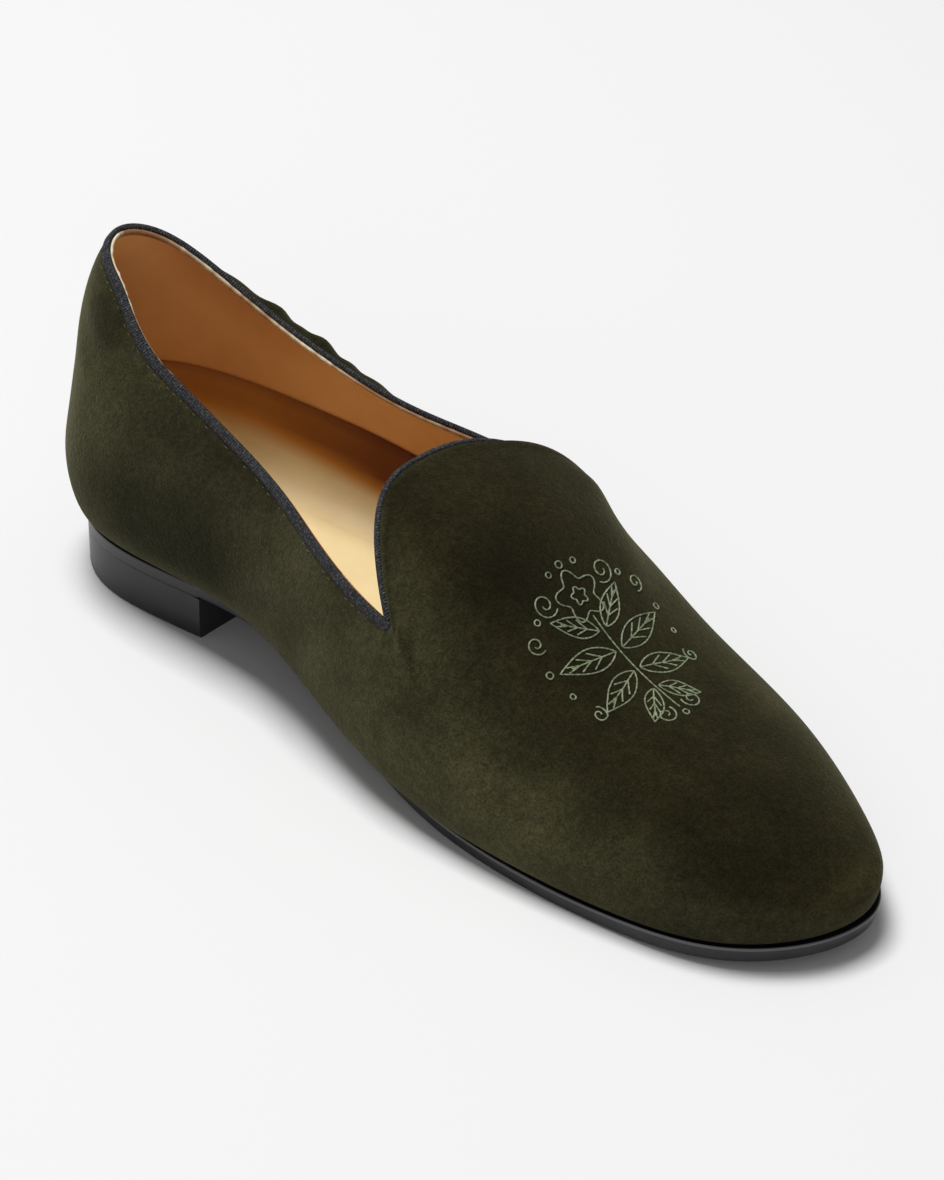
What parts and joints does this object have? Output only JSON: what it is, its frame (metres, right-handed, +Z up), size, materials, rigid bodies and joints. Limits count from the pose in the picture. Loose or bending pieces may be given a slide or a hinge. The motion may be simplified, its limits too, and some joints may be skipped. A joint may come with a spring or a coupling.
{
  "type": "slipper loafer",
  "caption": "Left velvet slipper loafer with bound collar and tongue, leather lining, thin leather sole and a low block heel",
  "frame": {"origin": "On the floor, under the middle of the shoe's bounding box", "axes": "+Z up from the floor, +Y towards the heel, -Y towards the toe, +X towards the outer side of the foot"},
  "size_m": [0.1098, 0.3015, 0.1096],
  "materials": {
    "velvet": "dark olive velvet",
    "binding": "dark slate ribbed ribbon",
    "insole_leather": "cream tan leather",
    "sole_leather": "black dressed leather",
    "heel_block": "smooth black"
  },
  "bodies": {
    "root": {"upper": "velvet", "quarter_binding": "binding", "vamp_binding": "binding", "insole": "insole_leather", "outsole": "sole_leather", "heel": "heel_block"}
  },
  "joints": []
}
